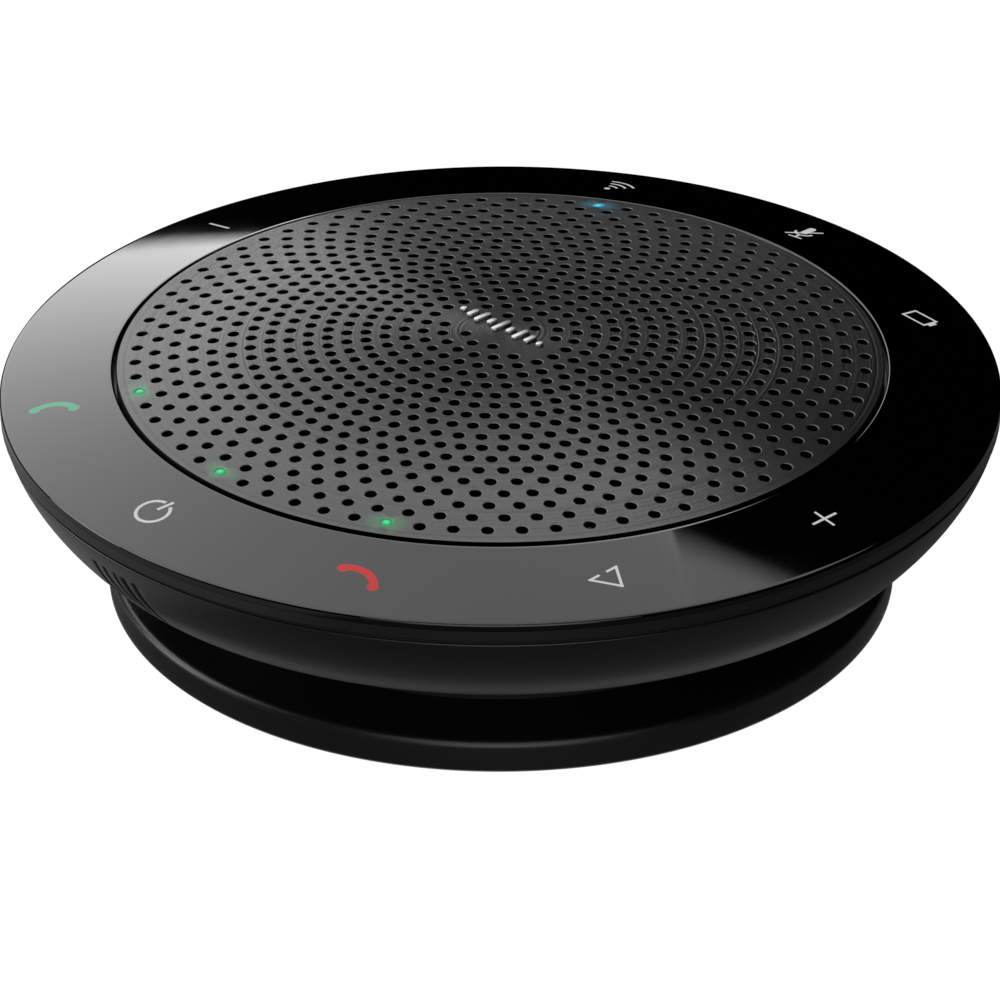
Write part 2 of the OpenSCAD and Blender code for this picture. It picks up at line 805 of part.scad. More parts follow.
module board_screws() {
  color(steel) for (a = board_post_angles) polar(board_post_r, a)
    translate([0, 0, z_main_board + main_board_t + 1]) mirror([0, 0, 1]) screw(3.6, 0.95, 1.55, 2.2);
}

module battery_pack() {
  size = [16, 30, 4.8];
  round_r = 2;
  color([0.2, 0.35, 0.6]) translate([33.5, -size[1] / 2, z_floor + 0.65])
    linear_extrude(size[2]) union() {
      translate([round_r, 0]) square([size[0] - 2 * round_r, size[1]]);
      translate([0, round_r]) square([size[0], size[1] - 2 * round_r]);
      for (x = [round_r, size[0] - round_r]) for (y = [round_r, size[1] - round_r])
        translate([x, y]) circle(r = round_r, $fn = 32);
    }
}

module battery_pad() {
  color([0.25, 0.25, 0.25]) translate([36.4, -13, z_floor + 0.02]) cube([12, 26, 0.6]);
}

mic_a = 315;
mic_r = 36.4;
module microphone() {
  color("silver") polar(mic_r, mic_a) translate([0, 0, z_deck + 1.2]) difference() {
    cylinder(d = 4, h = 1.5, $fn = 48);
    translate([0, 0, 1.2]) cylinder(d = 0.8, h = 1, $fn = 24);
  }
}

module microphone_boot() {
  color([0.1, 0.1, 0.1]) polar(mic_r, mic_a) translate([0, 0, z_deck + 0.03]) difference() {
    cylinder(d = 6.4, h = 3.4, $fn = 48);
    translate([0, 0, 1.15]) cylinder(d = 4.04, h = 1.6, $fn = 48);
    translate([0, 0, 1.15]) cylinder(d = 2.4, h = 4, $fn = 32);
  }
}

grille();
grille_cloth();
badge();
light_guide();
led_board();
indicator_leds();
control_ring();
key_frame();
key_board();
switch_bodies();
upper_housing();
housing_seal();
lower_housing();
vent_mesh();
winding_drum();
cord_inlet();
base_disc();
rubber_foot();
rating_plate();
base_screws();
housing_screws();
driver_basket();
driver_gasket();
driver_screws();
driver_surround();
driver_spider();
driver_magnet();
driver_top_plate();
driver_yoke();
driver_terminals();
main_board();
board_chips();
shield_can();
board_screws();
battery_pack();
battery_pad();
microphone();
microphone_boot();
driver_cone();
dust_cap();
voice_coil();
key_plus();
key_battery();
key_mute();
key_wireless();
key_minus();
key_answer();
key_power();
key_end();
key_assist();
legend_plus();
legend_battery();
legend_mute();
legend_wireless();
legend_minus();
legend_answer();
legend_power();
legend_end();
legend_assist();
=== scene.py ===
import math

import bpy
from mathutils import Matrix, Vector
from mathutils.geometry import delaunay_2d_cdt


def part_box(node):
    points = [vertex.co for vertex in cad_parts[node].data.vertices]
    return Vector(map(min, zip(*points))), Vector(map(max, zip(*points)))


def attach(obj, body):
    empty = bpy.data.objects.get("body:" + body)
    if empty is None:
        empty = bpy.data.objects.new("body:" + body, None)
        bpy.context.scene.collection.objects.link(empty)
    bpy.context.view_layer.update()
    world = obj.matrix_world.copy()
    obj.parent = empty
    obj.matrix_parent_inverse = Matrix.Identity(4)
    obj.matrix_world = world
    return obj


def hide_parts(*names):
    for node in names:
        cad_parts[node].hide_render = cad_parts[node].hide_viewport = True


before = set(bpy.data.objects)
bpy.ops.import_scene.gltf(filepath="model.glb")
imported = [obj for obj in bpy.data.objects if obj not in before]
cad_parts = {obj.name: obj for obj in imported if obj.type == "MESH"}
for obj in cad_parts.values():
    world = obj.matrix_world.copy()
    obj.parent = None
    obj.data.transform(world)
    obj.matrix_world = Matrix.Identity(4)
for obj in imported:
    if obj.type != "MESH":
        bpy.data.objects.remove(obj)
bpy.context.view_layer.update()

# lengths are in millimetres and angles in degrees; +Z is up and the device stands on z = 0
mm = 0.001


def boxOf(node):  # a CAD node's corners in millimetres
    low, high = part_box(node)
    return low / mm, high / mm


def hexColour(code):  # sRGB hex to linear
    levels = [int(code[i:i + 2], 16) / 255 for i in (0, 2, 4)]
    return [v / 12.92 if v <= 0.04045 else ((v + 0.055) / 1.055) ** 2.4 for v in levels] + [1]


def addNode(tree, kind, settings=None, links=None):
    made = tree.nodes.new(kind)
    for key, value in (settings or {}).items():
        if key == "stops":  # a colour ramp's positions and colours
            elements = made.color_ramp.elements
            while len(elements) < len(value):
                elements.new(1)
            for element, (position, colour) in zip(elements, value):
                element.position = position
                element.color = colour
        elif isinstance(key, int) or key in made.inputs:
            made.inputs[key].default_value = value
        else:
            setattr(made, key, value)
    for key, source in (links or {}).items():
        tree.links.new(source, made.inputs[key])
    return made


def newMaterial(name, values):  # a Principled material, values by socket name
    material = bpy.data.materials.new(name)
    material.use_nodes = True
    shader = material.node_tree.nodes["Principled BSDF"]
    for socket, value in values.items():
        shader.inputs[socket].default_value = value
    return material, material.node_tree, shader


def addMesh(name, points, faces, material, sharpAngle=35):
    mesh = bpy.data.meshes.new(name)
    mesh.from_pydata([[v * mm for v in p] for p in points], [], faces)
    mesh.materials.append(material)
    mesh.shade_smooth()
    mesh.set_sharp_from_angle(angle=math.radians(sharpAngle))
    made = bpy.data.objects.new(name, mesh)
    bpy.context.scene.collection.objects.link(made)
    return made


def rounded(corners, steps=6):  # corners are (x, y, fillet radius); every fillet becomes an arc
    outline = []
    for i, (x, y, radius) in enumerate(corners):
        here = Vector((x, y))
        if not radius:
            outline.append(here)
            continue
        toBefore = (Vector(corners[i - 1][:2]) - here).normalized()
        toAfter = (Vector(corners[(i + 1) % len(corners)][:2]) - here).normalized()
        half = toBefore.angle(toAfter) / 2
        centre = here + (toBefore + toAfter).normalized() * radius / math.sin(half)
        start = here + toBefore * radius / math.tan(half) - centre
        end = here + toAfter * radius / math.tan(half) - centre
        turn = start.angle_signed(end)
        for k in range(steps + 1):
            outline.append(centre + Matrix.Rotation(-turn * k / steps, 2) @ start)
    return outline


def lathe(name, outline, material, sharpAngle=35):
    # turns a closed outline of (radius, z), which runs anticlockwise, round the device's axis
    count, steps = len(outline), 360
    points = []
    for i in range(steps):
        x, y = polarPoint(1, i * 360 / steps)
        points += [(r * x, r * y, z) for r, z in outline]
    faces = []
    for i in range(steps):
        a, b = i * count, (i + 1) % steps * count
        faces += [(a + j, b + j, b + (j + 1) % count, a + (j + 1) % count) for j in range(count)]
    return addMesh(name, points, faces, material, sharpAngle)


def stadium(x, low, high, radius, steps):  # an upright slot's outline, with a half circle at each end
    outline = []
    for start, level in ((0, high), (math.pi, low)):
        for k in range(steps + 1):
            turn = start + math.pi * k / steps
            outline.append((x + radius * math.cos(turn), level + radius * math.sin(turn)))
    return outline


def joinSections(points, faces, sections):
    # adds a closed solid to a mesh in the making, from outlines of equal length joined in turn
    size = len(sections[0])
    for level, section in enumerate(sections):
        start = len(points)
        points += section
        if level:
            faces += [(start - size + k, start - size + (k + 1) % size, start + (k + 1) % size, start + k)
                      for k in range(size)]
        else:
            faces.append(tuple(reversed(range(start, start + size))))
    faces.append(tuple(range(start, start + size)))


def circlePoints(centre, radius, count):
    turn = 2 * math.pi / count
    return [(centre[0] + radius * math.cos(turn * i), centre[1] + radius * math.sin(turn * i))
            for i in range(count)]


def polarPoint(radius, degrees):
    return (radius * math.cos(math.radians(degrees)), radius * math.sin(math.radians(degrees)))


def triangulate(outlines, fill=()):
    # splits the plane along the outlines; returns points, triangles, each point's first source point,
    # and for each triangle the outlines that it lies inside
    points, loops = [], []
    for outline in outlines:
        loops.append(list(range(len(points), len(points) + len(outline))))
        points += [Vector(p) for p in outline]
    points += [Vector(p) for p in fill]
    places, _, triangles, sources, _, inside = delaunay_2d_cdt(points, [], loops, 0, 1e-6)
    return places, triangles, [s[0] if s else -1 for s in sources], inside


def sheetSolid(name, places, triangles, topAt, bottomAt, normalAt, material, flat=()):
    # a closed solid from flat triangles: topAt and bottomAt give each point's heights, normalAt the
    # true surface normal of the top, and the triangles in flat keep their own normals
    used = sorted({v for t in triangles for v in t})
    index = {v: i for i, v in enumerate(used)}
    points = [(*places[v], topAt(v)) for v in used] + [(*places[v], bottomAt(v)) for v in used]
    count = len(used)
    faces, normals = [], []
    directed = set()
    for i, t in enumerate(triangles):
        a, b, c = (index[v] for v in t)
        directed.update(((a, b), (b, c), (c, a)))
        faces.append((a, b, c))
        if i in flat:
            p, q, r = (Vector(points[k]) for k in (a, b, c))
            normals += [(q - p).cross(r - p).normalized()] * 3
        else:
            normals += [normalAt(places[v]) for v in t]
        faces.append((c + count, b + count, a + count))
        normals += [-normalAt(places[v]) for v in reversed(t)]
    for a, b in sorted(directed):
        if (b, a) in directed:
            continue
        along = Vector(points[b]) - Vector(points[a])
        outward = Vector((along.y, -along.x, 0)).normalized()
        faces.append((a + count, b + count, b, a))
        normals += [outward] * 4
    made = addMesh(name, points, faces, material)
    made.data.normals_split_custom_set(normals)
    return made


# the two top surfaces, a dome and a shallow cone, sized from the frame
grilleHigh = boxOf("grille")[1]
ringLow, ringHigh = boxOf("control_ring")
bodyRadius, grilleRadius, apexHeight = ringHigh.x, grilleHigh.x, grilleHigh.z

domeShape = {"rise": 3.2, "sheet": 0.8}
ringShape = {
    "slope": 9.2, "edgeHeight": 0.75, "skin": 0.8, "innerBevel": 0.3, "rimRound": 0.3,
    "gap": 0.32,  # the dark line between the grille and the ring
}
domeRadius = (grilleRadius ** 2 + domeShape["rise"] ** 2) / (2 * domeShape["rise"])
domeCentre = Vector((0, 0, apexHeight - domeRadius))


def domeHeight(place):
    return domeCentre.z + math.sqrt(domeRadius ** 2 - place[0] ** 2 - place[1] ** 2)


def domeNormal(place):
    return (Vector((*place, domeHeight(place))) - domeCentre).normalized()


def ringHeight(radius):
    run = (bodyRadius - radius) * math.tan(math.radians(ringShape["slope"]))
    return ringLow.z + ringShape["edgeHeight"] + run


def ringNormal(place):
    slope = math.radians(ringShape["slope"])
    outward = Vector(place).normalized() * math.sin(slope)
    return Vector((outward.x, outward.y, math.cos(slope)))


def erodedTexture(tree, shader, grain, depth):
    # moulding marks: fine pits of the given width, and slow changes in gloss about 22 mm across
    coordinates = addNode(tree, "ShaderNodeTexCoord")
    pits = addNode(tree, "ShaderNodeTexNoise", {"Scale": 1 / (grain * mm), "Detail": 3, "Roughness": 0.55},
                   {"Vector": coordinates.outputs["Object"]})
    bump = addNode(tree, "ShaderNodeBump", {"Strength": 0.5, "Distance": depth * mm},
                   {"Height": pits.outputs["Fac"]})
    tree.links.new(bump.outputs["Normal"], shader.inputs["Normal"])
    drift = addNode(tree, "ShaderNodeTexNoise", {"Scale": 1 / (22.2 * mm), "Detail": 2},
                    {"Vector": coordinates.outputs["Object"]})
    base = shader.inputs["Roughness"].default_value
    rough = addNode(tree, "ShaderNodeMapRange", {"To Min": base - 0.04, "To Max": base + 0.04},
                    {"Value": drift.outputs["Fac"]})
    tree.links.new(rough.outputs["Result"], shader.inputs["Roughness"])


def turnedAluminium():
    # black-anodised aluminium, turned on a lathe: satin, with fine rings that catch the light
    material, tree, shader = newMaterial("turned black-anodised aluminium", {
        "Base Color": hexColour("3C3C3D"), "Metallic": 1, "Roughness": 0.25, "Anisotropic": 0.75,
        "Anisotropic Rotation": 0.25})
    coordinates = addNode(tree, "ShaderNodeTexCoord")
    flat = addNode(tree, "ShaderNodeVectorMath", {"operation": "MULTIPLY", 1: (1, 1, 0)},
                   {0: coordinates.outputs["Object"]})
    radius = addNode(tree, "ShaderNodeVectorMath", {"operation": "LENGTH"}, {0: flat.outputs["Vector"]})
    # tool marks about 0.34 mm apart, drawn coarser than real ones so that they show
    grooves = addNode(tree, "ShaderNodeTexNoise", {"noise_dimensions": "1D", "Scale": 1 / (0.34 * mm),
                      "Detail": 3, "Roughness": 0.6}, {"W": radius.outputs["Value"]})
    bump = addNode(tree, "ShaderNodeBump", {"Strength": 0.8, "Distance": 0.06 * mm},
                   {"Height": grooves.outputs["Fac"]})
    tree.links.new(bump.outputs["Normal"], shader.inputs["Normal"])
    tangent = addNode(tree, "ShaderNodeTangent", {"direction_type": "RADIAL", "axis": "Z"})
    tree.links.new(tangent.outputs["Tangent"], shader.inputs["Tangent"])
    # the metal's base colour is a little paler towards the rim
    tone = addNode(tree, "ShaderNodeMapRange", {"From Min": 12 * mm, "From Max": 38 * mm},
                   {"Value": radius.outputs["Value"]})
    streaks = addNode(tree, "ShaderNodeMapRange", {
        "From Min": 0.3, "From Max": 0.7, "To Min": -0.2, "To Max": 0.2}, {"Value": grooves.outputs["Fac"]})
    mixed = addNode(tree, "ShaderNodeMath", {"operation": "ADD", "use_clamp": True},
                    {0: tone.outputs["Result"], 1: streaks.outputs["Result"]})
    metalTone = addNode(tree, "ShaderNodeMix", {"data_type": "RGBA", 6: hexColour("1C1C1D"), 7: hexColour("4A4A4B")},
                  {0: mixed.outputs["Value"]})
    # painted highlight and painted shade: a paler rim round each hole stands in for the highlight on its edge,
    # and the hole's wall and the rolled outer edge are painted black as shade
    cut = addNode(tree, "ShaderNodeAttribute", {"attribute_name": "cut"})
    edge = addNode(tree, "ShaderNodeValToRGB", {
        "stops": [(0, hexColour("000000")), (0.5, hexColour("FFFFFF")), (1, hexColour("FFFFFF"))]},
        {"Fac": cut.outputs["Fac"]})
    # pale grey on the holes' rims is a painted highlight, black on the walls and rolled edge is painted shade
    rim = addNode(tree, "ShaderNodeValToRGB", {
        "stops": [(0, hexColour("7A7A7C")), (0.6, hexColour("7A7A7C")), (1, hexColour("000000"))]},
        {"Fac": cut.outputs["Fac"]})
    colour = addNode(tree, "ShaderNodeMix", {"data_type": "RGBA"},
                     {0: edge.outputs["Color"], 6: metalTone.outputs[2], 7: rim.outputs["Color"]})
    tree.links.new(colour.outputs[2], shader.inputs["Base Color"])
    rougher = addNode(tree, "ShaderNodeMapRange", {"To Min": 0.25, "To Max": 0.6},
                      {"Value": edge.outputs["Color"]})
    tree.links.new(rougher.outputs["Result"], shader.inputs["Roughness"])
    # the lit indicators spill a little light on the metal round them
    halo = addNode(tree, "ShaderNodeAttribute", {"attribute_name": "halo"})
    tree.links.new(halo.outputs["Color"], shader.inputs["Emission Color"])
    shader.inputs["Emission Strength"].default_value = 1
    return material


def glossPolycarbonate():
    # polished black polycarbonate: a mirror-like skin with hardly any colour of its own
    material, tree, shader = newMaterial("polished black polycarbonate", {
        "Base Color": hexColour("010101"), "Roughness": 0.03, "IOR": 1.5})
    coordinates = addNode(tree, "ShaderNodeTexCoord")
    # faint smears from handling, about a fingertip wide
    smears = addNode(tree, "ShaderNodeTexNoise", {"Scale": 1 / (16.7 * mm), "Detail": 4},
                     {"Vector": coordinates.outputs["Object"]})
    rough = addNode(tree, "ShaderNodeMapRange", {
        "From Min": 0.4, "From Max": 0.8, "To Min": 0.025, "To Max": 0.05}, {"Value": smears.outputs["Fac"]})
    tree.links.new(rough.outputs["Result"], shader.inputs["Roughness"])
    return material


def litInk(name, colour, strength):
    # translucent screen-printed ink lit from behind, under the same polished skin
    material, tree, shader = newMaterial(name, {
        "Base Color": hexColour("202020"), "Roughness": 0.08, "IOR": 1.5, "Specular IOR Level": 0.15,
        "Emission Color": hexColour(colour), "Emission Strength": strength})
    coordinates = addNode(tree, "ShaderNodeTexCoord")
    grain = addNode(tree, "ShaderNodeTexNoise", {"Scale": 1 / (0.25 * mm), "Detail": 2},
                    {"Vector": coordinates.outputs["Object"]})
    # the mesh of the printing screen leaves a faint unevenness
    glow = addNode(tree, "ShaderNodeMapRange", {"To Min": strength * 0.85, "To Max": strength * 1.15},
                   {"Value": grain.outputs["Fac"]})
    tree.links.new(glow.outputs["Result"], shader.inputs["Emission Strength"])
    return material


def mouldedPlastic(name, colour, rough, grain=0.12, depth=0.004, ior=1.5):
    # moulded in a spark-eroded tool: an even grain, finer and glossier or coarser and duller as asked
    material, tree, shader = newMaterial(name, {
        "Base Color": hexColour(colour), "Roughness": rough, "IOR": ior})
    erodedTexture(tree, shader, grain, depth)
    return material


def lensPlastic(name, rimColour, colour, strength):
    # clear polycarbonate light pipe, polished at its tip: brightest over the lamp, deeper at its wall
    material, tree, shader = newMaterial(name, {
        "Base Color": hexColour("0A0C0C"), "Roughness": 0.08, "IOR": 1.58, "Specular IOR Level": 0.08,
        "Emission Strength": strength})
    coordinates = addNode(tree, "ShaderNodeTexCoord")
    grain = addNode(tree, "ShaderNodeTexNoise", {"Scale": 1 / (0.3 * mm), "Detail": 1},
                    {"Vector": coordinates.outputs["Object"]})
    glow = addNode(tree, "ShaderNodeMapRange", {"To Min": strength * 0.9, "To Max": strength * 1.1},
                   {"Value": grain.outputs["Fac"]})
    tree.links.new(glow.outputs["Result"], shader.inputs["Emission Strength"])
    middle = addNode(tree, "ShaderNodeAttribute", {"attribute_name": "middle"})
    hue = addNode(tree, "ShaderNodeValToRGB", {
        "stops": [(0.1, hexColour(rimColour)), (0.95, hexColour(colour))]}, {"Fac": middle.outputs["Fac"]})
    tree.links.new(hue.outputs["Color"], shader.inputs["Emission Color"])
    return material


def grainedMetal(name, colour, rough, along=(1, 1, 0.04)):
    # metal with a grain about 0.1 mm wide: drawn out into scratches by rolling, even where it is blasted
    material, tree, shader = newMaterial(name, {
        "Base Color": hexColour(colour), "Metallic": 1, "Roughness": rough, "Anisotropic": 0.3})
    coordinates = addNode(tree, "ShaderNodeTexCoord")
    stretched = addNode(tree, "ShaderNodeMapping", {"Scale": along},
                        {"Vector": coordinates.outputs["Object"]})
    scratches = addNode(tree, "ShaderNodeTexNoise", {"Scale": 1 / (0.1 * mm), "Detail": 4},
                        {"Vector": stretched.outputs["Vector"]})
    rougher = addNode(tree, "ShaderNodeMapRange", {"To Min": rough - 0.06, "To Max": rough + 0.1},
                      {"Value": scratches.outputs["Fac"]})
    tree.links.new(rougher.outputs["Result"], shader.inputs["Roughness"])
    bump = addNode(tree, "ShaderNodeBump", {"Strength": 0.15, "Distance": 0.01 * mm},
                   {"Height": scratches.outputs["Fac"]})
    tree.links.new(bump.outputs["Normal"], shader.inputs["Normal"])
    return material


def wovenCloth(name, colour, thread):
    # plain weave: threads cross at the given spacing, each hump catching a little light
    material, tree, shader = newMaterial(name, {
        "Base Color": hexColour(colour), "Roughness": 0.9, "Sheen Weight": 0.15})
    coordinates = addNode(tree, "ShaderNodeTexCoord")
    warp, weft = (addNode(tree, "ShaderNodeTexWave", {
        "bands_direction": direction, "Scale": 0.314 / (thread * mm)},  # its bands repeat every 0.314 / scale
        {"Vector": coordinates.outputs["Object"]}) for direction in "XY")
    weave = addNode(tree, "ShaderNodeMath", {"operation": "MULTIPLY"},
                    {0: warp.outputs["Fac"], 1: weft.outputs["Fac"]})
    bump = addNode(tree, "ShaderNodeBump", {"Strength": 0.6, "Distance": 0.05 * mm},
                   {"Height": weave.outputs["Value"]})
    tree.links.new(bump.outputs["Normal"], shader.inputs["Normal"])
    return material


def glassEpoxyBoard():
    # FR-4 laminate under green solder mask: semi-gloss, with the weave and copper runs faintly below
    material, tree, shader = newMaterial("solder-masked glass epoxy", {
        "Base Color": hexColour("0F4A2C"), "Roughness": 0.35, "IOR": 1.55})
    coordinates = addNode(tree, "ShaderNodeTexCoord")
    runs = addNode(tree, "ShaderNodeTexBrick", {"Scale": 1 / (2.4 * mm), "Mortar Size": 0.06,
                   "Color1": hexColour("0F4A2C"), "Color2": hexColour("13583A"), "Mortar": hexColour("2A7A4E")},
                   {"Vector": coordinates.outputs["Object"]})
    tree.links.new(runs.outputs["Color"], shader.inputs["Base Color"])
    return material


finishes = {  # by the frame's material slots; plastics have colour, roughness, grain, depth and IOR
    "grille_metal": turnedAluminium(),
    "acoustic_cloth": wovenCloth("black acoustic cloth", "060606", 0.25),  # nearly black behind the holes
    "badge_metal": grainedMetal("bead-blasted stainless steel", "BEBEBE", 0.4, (1, 1, 1)),  # pale and soft
    "light_guide": lensPlastic("clear polycarbonate light pipe", "000000", "000000", 0),
    "circuit_board": glassEpoxyBoard(),
    "led_package": mouldedPlastic("white LED moulding", "E8E6DA", 0.4, 0.1, 0.002),  # clean, half gloss
    "gloss_ring": glossPolycarbonate(),
    "satin_case": mouldedPlastic("spark-eroded black ABS", "0B0B0B", 0.34),  # wide, soft highlights
    "switch_plastic": mouldedPlastic("black nylon switch body", "1D1D1E", 0.5),  # dark grey, dull
    "seal_rubber": mouldedPlastic("moulded silicone rubber", "0B0B0B", 0.65, 0.2, 0.006, 1.43),
    "drum_plastic": mouldedPlastic("matt black ABS", "080808", 0.6, 0.15, 0.006),  # hardly any highlight
    "foot_rubber": mouldedPlastic("moulded nitrile rubber", "141414", 0.75, 0.3, 0.01, 1.52),  # chalky black
    "rating_film": mouldedPlastic("printed polyester film", "2E2E30", 0.45, 0.5, 0.002, 1.57),
    "screw_steel": grainedMetal("zinc-plated steel", "B9BCC0", 0.32),  # bluish silver
    "driver_steel": grainedMetal("pressed steel, black zinc", "55565A", 0.42),  # smoky grey
    "gasket_foam": mouldedPlastic("closed-cell foam", "1A1A1A", 0.95, 0.35, 0.08, 1.4),  # dull and pitted
    "surround_rubber": mouldedPlastic("butyl rubber", "0E0E0E", 0.6, 0.25, 0.006, 1.52),
    "spider_cloth": wovenCloth("resin-dipped cotton", "B08A4A", 0.35),  # amber, with a visible weave
    "magnet_ferrite": mouldedPlastic("sintered ferrite", "2B2B2D", 0.7, 0.2, 0.01, 1.9),  # stony charcoal
    "terminal_brass": grainedMetal("tinned brass", "C9B27A", 0.35),  # pale gold
    "chip_plastic": mouldedPlastic("moulded epoxy", "151516", 0.55, 0.1, 0.003),  # charcoal satin
    "battery_wrap": mouldedPlastic("shrink-wrapped polyester", "27466F", 0.3, 1.2, 0.02, 1.57),  # creased gloss
    "microphone_metal": grainedMetal("nickel-plated steel", "C8C6C0", 0.3),  # warm silver
    "cone_paper": mouldedPlastic("pulped paper cone", "0C0C0C", 0.85, 0.4, 0.03, 1.45),  # fibrous, dull
    "coil_copper": grainedMetal("enamelled copper wire", "B4683A", 0.3, (0.05, 0.05, 1)),  # windings
    "legend_white": litInk("white backlit ink", "C4C4C4", 0.95),
    "legend_green": litInk("green backlit ink", "46A27E", 0.95),
    "legend_red": litInk("red backlit ink", "BC1C1C", 0.95),
}
print("materials made:", len(finishes))


grillePattern = {  # a domed disc pierced by rings of holes
    "ringSpacing": 2.3, "holeDiameter": 1.4, "holeSides": 18, "rim": 0.09, "rimDrop": 0.07,
    # rings 3 to 19 counted from the middle; the four holes beside the badge's ends are left out of ring 3
    "firstRing": 3, "lastRing": 19, "holesInOuterRings": 72, "firstHalfTurned": 10,
    "holesInRing": {3: 18, 4: 24, 5: 30, 6: 36, 7: 48, 8: 48, 9: 60, 10: 60, 11: 60},
    "badgeEnds": (5, 15),  # how far round from the badge's ends the left-out holes lie
    "besideBadge": [(0, 4.6), (0, -4.6), (2.36, 3.5), (-2.36, 3.5), (2.36, -3.45), (-2.36, -3.45)],
    "edgeSides": 240, "edgeRoll": 0.15, "edgeDrop": 0.12, "skirt": 1.6,
}


def holeCentres():
    pattern = grillePattern
    centres = list(pattern["besideBadge"])
    nearEnd, farEnd = pattern["badgeEnds"]
    for ring in range(pattern["firstRing"], pattern["lastRing"] + 1):
        count = pattern["holesInRing"].get(ring, pattern["holesInOuterRings"])
        halfTurn = 0.5 if ring >= pattern["firstHalfTurned"] and ring % 2 == 0 else 0
        for i in range(count):
            angle = 90 + (i + halfTurn) * 360 / count
            fromBadgeEnd = min(angle % 180, 180 - angle % 180)
            if ring == pattern["firstRing"] and nearEnd < fromBadgeEnd < farEnd:
                continue
            centres.append(polarPoint(ring * pattern["ringSpacing"], angle))
    return centres


def makeGrille():
    pattern = grillePattern
    holeRadius, sides = pattern["holeDiameter"] / 2, pattern["holeSides"]
    centres = holeCentres()
    edge, edgeInner = (circlePoints((0, 0), grilleRadius - inset, pattern["edgeSides"])
                       for inset in (0, pattern["edgeRoll"]))
    outlines = [edge, edgeInner]
    for centre in centres:
        outlines.append(circlePoints(centre, holeRadius + pattern["rim"], sides))
        outlines.append(circlePoints(centre, holeRadius, sides))
    # points between the rings of holes let the sheet follow the dome
    fill = [(0, 0)]
    for ring in range(1, pattern["lastRing"] + 1):
        fill += circlePoints((0, 0), (ring + 0.5) * pattern["ringSpacing"], max(24, 6 * ring))
    places, triangles, sources, inside = triangulate(outlines, fill)
    firstHole = len(edge) + len(edgeInner)

    def drop(v):  # the hole's own edge and the grille's outer edge lie lower than the dome
        source = sources[v]
        if 0 <= source < len(edge):
            return pattern["edgeDrop"]
        onHoles = firstHole <= source < firstHole + 2 * sides * len(centres)
        return pattern["rimDrop"] if onHoles and (source - firstHole) // sides % 2 else 0

    def bottom(v):
        skirt = pattern["skirt"] if 0 <= sources[v] < len(edge) else 0
        return domeHeight(places[v]) - domeShape["sheet"] - skirt

    litHoles = {}
    for angle, hue in indicators["lit"].items():
        spot = Vector(polarPoint(pattern["lastRing"] * pattern["ringSpacing"], angle))
        litHoles[min(range(len(centres)), key=lambda k: (spot - Vector(centres[k])).length)] = hue

    def halo(v):  # light spilt round a lit hole: strong at its edge, weaker at the outside of its rim
        hole = (sources[v] - firstHole) // sides
        if sources[v] < firstHole or hole // 2 not in litHoles:
            return (0, 0, 0, 1)
        share = indicators["spill"][hole % 2]
        return [level * share for level in hexColour(indicators[litHoles[hole // 2]][0])[:3]] + [1]

    kept, bent, rolled = [], set(), set()  # the rims of holes are bent down, the outer edge is rolled
    for triangle, within in zip(triangles, inside):
        holes = [k for k in within if k >= 2]
        if 0 not in within or len(holes) == 2:
            continue
        if holes:
            bent.add(len(kept))
        elif 1 not in within:
            rolled.add(len(kept))
        kept.append(triangle)
    grille = sheetSolid("grille_sheet", places, kept, lambda v: domeHeight(places[v]) - drop(v), bottom,
                        domeNormal, finishes["grille_metal"], bent | rolled)
    # each triangle has a face above and one below: 0 is the plain metal, 0.5 a hole's rim with a painted
    # highlight, 1 a wall or the rolled edge, painted black as shade
    cuts = [0.5 if k // 2 in bent else 1 if k // 2 in rolled else 0 for k in range(2 * len(kept))]
    cuts += [1] * (len(grille.data.polygons) - len(cuts))
    grille.data.attributes.new("cut", "FLOAT", "FACE").data.foreach_set("value", cuts)
    tops = sorted({v for t in kept for v in t})
    spill = [level for v in tops for level in halo(v)] + [0, 0, 0, 1] * len(tops)
    grille.data.attributes.new("halo", "FLOAT_COLOR", "POINT").data.foreach_set("color", spill)
    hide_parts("grille")
    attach(grille, "root")
    print("grille:", len(centres), "holes,", len(grille.data.polygons), "faces")


indicators = {  # light pipes in the outermost ring of holes
    "count": 12, "lensRadius": 0.69, "crown": 0.12, "depth": 1.6, "rings": 5, "sides": 20,
    "recess": 0.45, "litRecess": -0.02,  # the dark ones look sunk into their holes
    "lit": {120: "cyan", 240: "green", 270: "green", 300: "green"},  # by the angle round the device
    "cyan": ("0088A8", "60E8FF", 1.0), "green": ("009650", "4CF0A4", 0.95),  # at the wall, over the lamp
    "spill": (0.35, 0.8),  # onto the metal at the outside of a hole's rim, and at the hole's edge
}


